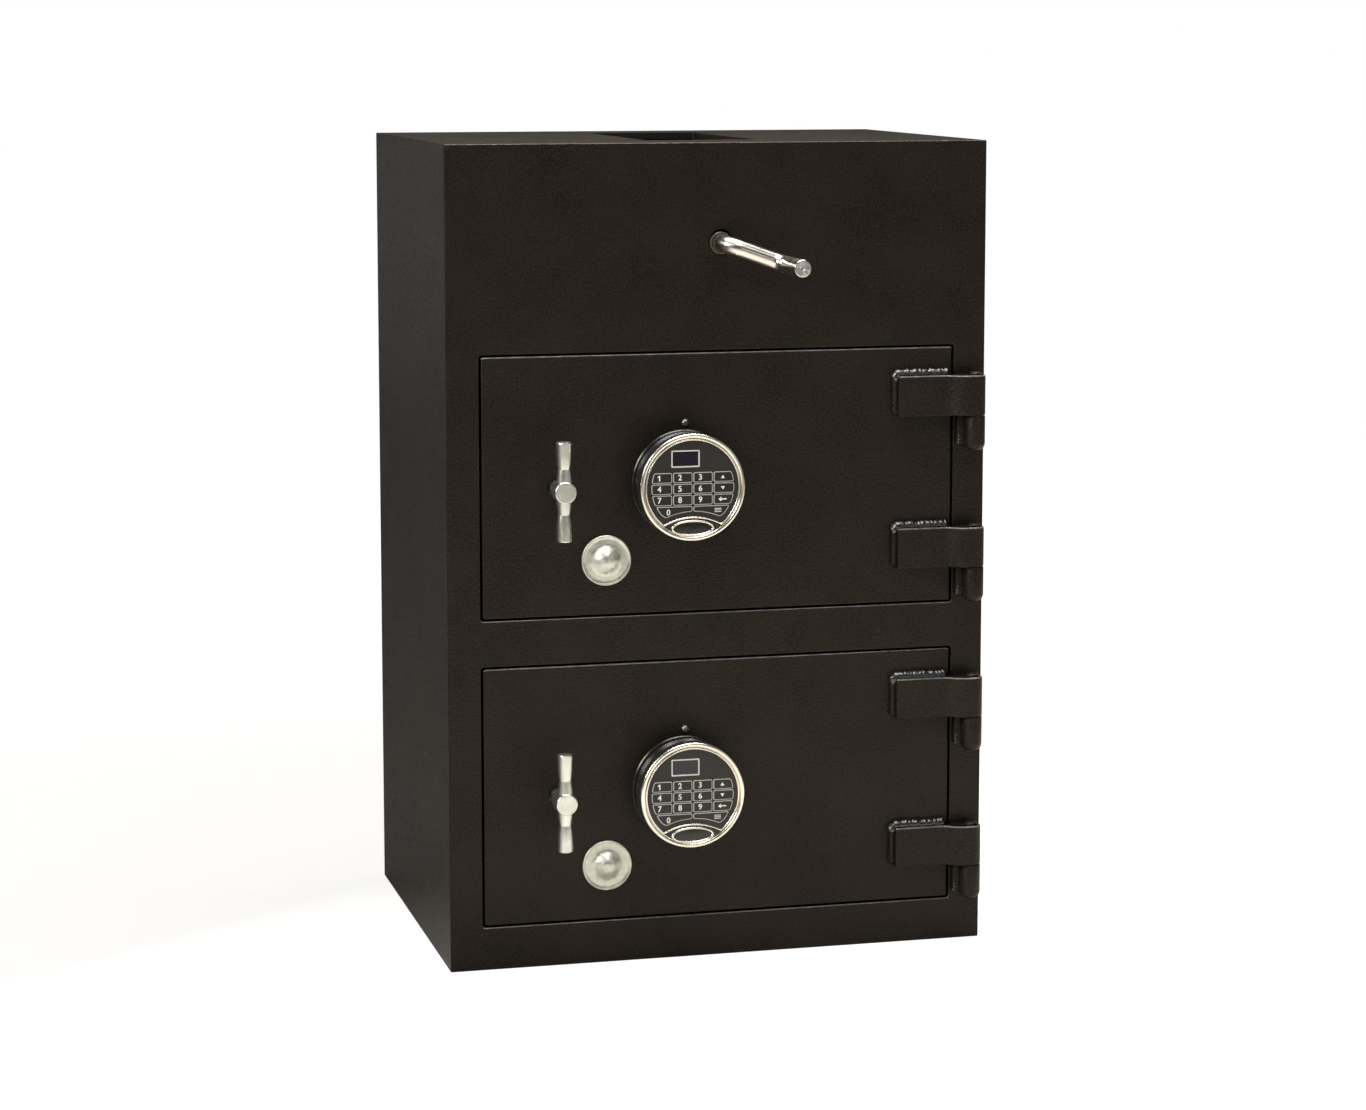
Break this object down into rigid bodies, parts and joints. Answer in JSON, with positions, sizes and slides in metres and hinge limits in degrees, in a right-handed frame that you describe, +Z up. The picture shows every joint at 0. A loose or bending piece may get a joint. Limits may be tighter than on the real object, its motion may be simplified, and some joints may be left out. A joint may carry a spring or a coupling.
{
  "type": "rotary hopper safe",
  "caption": "Upright steel depository safe: a crank turns a hopper drum under a slot in the top, over keypad-locked doors with T-handles.",
  "frame": {"origin": "centre of the body's footprint on the floor", "axes": "+Z up, +X to the right seen from the front, +Y towards the back, so the doors face -Y"},
  "size_m": [0.514, 0.463, 0.762],
  "materials": {
    "powder_coat": "dark warm black textured powder coat on steel plate",
    "machined_steel": "bare machined steel, lightly oiled",
    "polished_stainless": "polished stainless rod with a turned end face",
    "satin_nickel": "satin nickel plate on a turned steel handle",
    "zinc_plate": "bright zinc plate, slightly mottled",
    "chrome_trim": "bright chrome plate",
    "black_plastic": "black moulded plastic with fine turned ridges",
    "keypad_overlay": "semi-gloss printed keypad overlay with a dark blue display window",
    "lock_casting": "cast zinc lock body",
    "bronze": "plain bearing bronze and brass"
  },
  "bodies": {
    "root": {"front_frame": "powder_coat", "left_side_plate": "powder_coat", "right_side_plate": "powder_coat", "back_plate": "powder_coat", "top_plate": "powder_coat", "bottom_plate": "powder_coat", "divider_shelf": "powder_coat", "hopper_left_baffle": "powder_coat", "hopper_right_baffle": "powder_coat", "hopper_rear_bracket": "powder_coat", "hopper_front_bushing": "machined_steel", "hopper_rear_bushing": "bronze", "hopper_stop_sector": "machined_steel", "upper_hinge_barrel_top": "powder_coat", "upper_hinge_barrel_bottom": "powder_coat", "lower_hinge_barrel_top": "powder_coat", "lower_hinge_barrel_bottom": "powder_coat"},
    "hopper": {"hopper_drum_shell": "powder_coat", "hopper_front_disc": "powder_coat", "hopper_rear_disc": "powder_coat", "hopper_stub_shaft": "machined_steel", "hopper_stop_pin": "machined_steel", "crank_handle": "polished_stainless"},
    "upper_door": {"upper_door_plate": "powder_coat", "upper_hinge_strap_top": "powder_coat", "upper_hinge_strap_bottom": "powder_coat", "upper_keypad_base": "black_plastic", "upper_keypad_bezel": "chrome_trim", "upper_keypad_face": "keypad_overlay", "upper_plug_washer": "zinc_plate", "upper_plug_bolt": "zinc_plate", "upper_lock_case": "lock_casting", "upper_bolt_guide": "machined_steel", "upper_back_cover": "powder_coat"},
    "upper_handle": {"upper_handle_grip": "satin_nickel", "upper_handle_spindle": "machined_steel", "upper_handle_cam": "machined_steel"},
    "upper_boltwork": {"upper_bolt_bar": "machined_steel", "upper_locking_bolt_top": "machined_steel", "upper_locking_bolt_bottom": "machined_steel"},
    "upper_lock": {"upper_lock_bolt": "bronze"},
    "lower_door": {"lower_door_plate": "powder_coat", "lower_hinge_strap_top": "powder_coat", "lower_hinge_strap_bottom": "powder_coat", "lower_keypad_base": "black_plastic", "lower_keypad_bezel": "chrome_trim", "lower_keypad_face": "keypad_overlay", "lower_plug_washer": "zinc_plate", "lower_plug_bolt": "zinc_plate", "lower_lock_case": "lock_casting", "lower_bolt_guide": "machined_steel", "lower_back_cover": "powder_coat"},
    "lower_handle": {"lower_handle_grip": "satin_nickel", "lower_handle_spindle": "machined_steel", "lower_handle_cam": "machined_steel"},
    "lower_boltwork": {"lower_bolt_bar": "machined_steel", "lower_locking_bolt_top": "machined_steel", "lower_locking_bolt_bottom": "machined_steel"},
    "lower_lock": {"lower_lock_bolt": "bronze"}
  },
  "joints": [
    {"name": "hopper_turn", "type": "hinge", "parent": "root", "child": "hopper", "pos_m": [0, -0.188, 0.67], "axis": [0, -1, 0], "range_deg": [0, 180]},
    {"name": "upper_door_swing", "type": "hinge", "parent": "root", "child": "upper_door", "pos_m": [0.2445, -0.198, 0.44925], "axis": [0, 0, 1], "range_deg": [0, 170]},
    {"name": "upper_handle_turn", "type": "hinge", "parent": "upper_door", "child": "upper_handle", "pos_m": [-0.156, -0.188, 0.44925], "axis": [0, -1, 0], "range_deg": [0, 90]},
    {"name": "upper_bolt_throw", "type": "slide", "parent": "upper_door", "child": "upper_boltwork", "axis": [-1, 0, 0], "range_m": [0, 0.0198]},
    {"name": "upper_lock_bolt_slide", "type": "slide", "parent": "upper_door", "child": "upper_lock", "axis": [0, 0, 1], "range_m": [0, 0.009]},
    {"name": "lower_door_swing", "type": "hinge", "parent": "root", "child": "lower_door", "pos_m": [0.2445, -0.198, 0.16225], "axis": [0, 0, 1], "range_deg": [0, 170]},
    {"name": "lower_handle_turn", "type": "hinge", "parent": "lower_door", "child": "lower_handle", "pos_m": [-0.156, -0.188, 0.16225], "axis": [0, -1, 0], "range_deg": [0, 90]},
    {"name": "lower_bolt_throw", "type": "slide", "parent": "lower_door", "child": "lower_boltwork", "axis": [-1, 0, 0], "range_m": [0, 0.0198]},
    {"name": "lower_lock_bolt_slide", "type": "slide", "parent": "lower_door", "child": "lower_lock", "axis": [0, 0, 1], "range_m": [0, 0.009]}
  ],
  "couplings": [
    {"joint": "upper_handle_turn", "follows": "upper_bolt_throw", "rad_per_m": 79.33},
    {"joint": "lower_handle_turn", "follows": "lower_bolt_throw", "rad_per_m": 79.33}
  ]
}
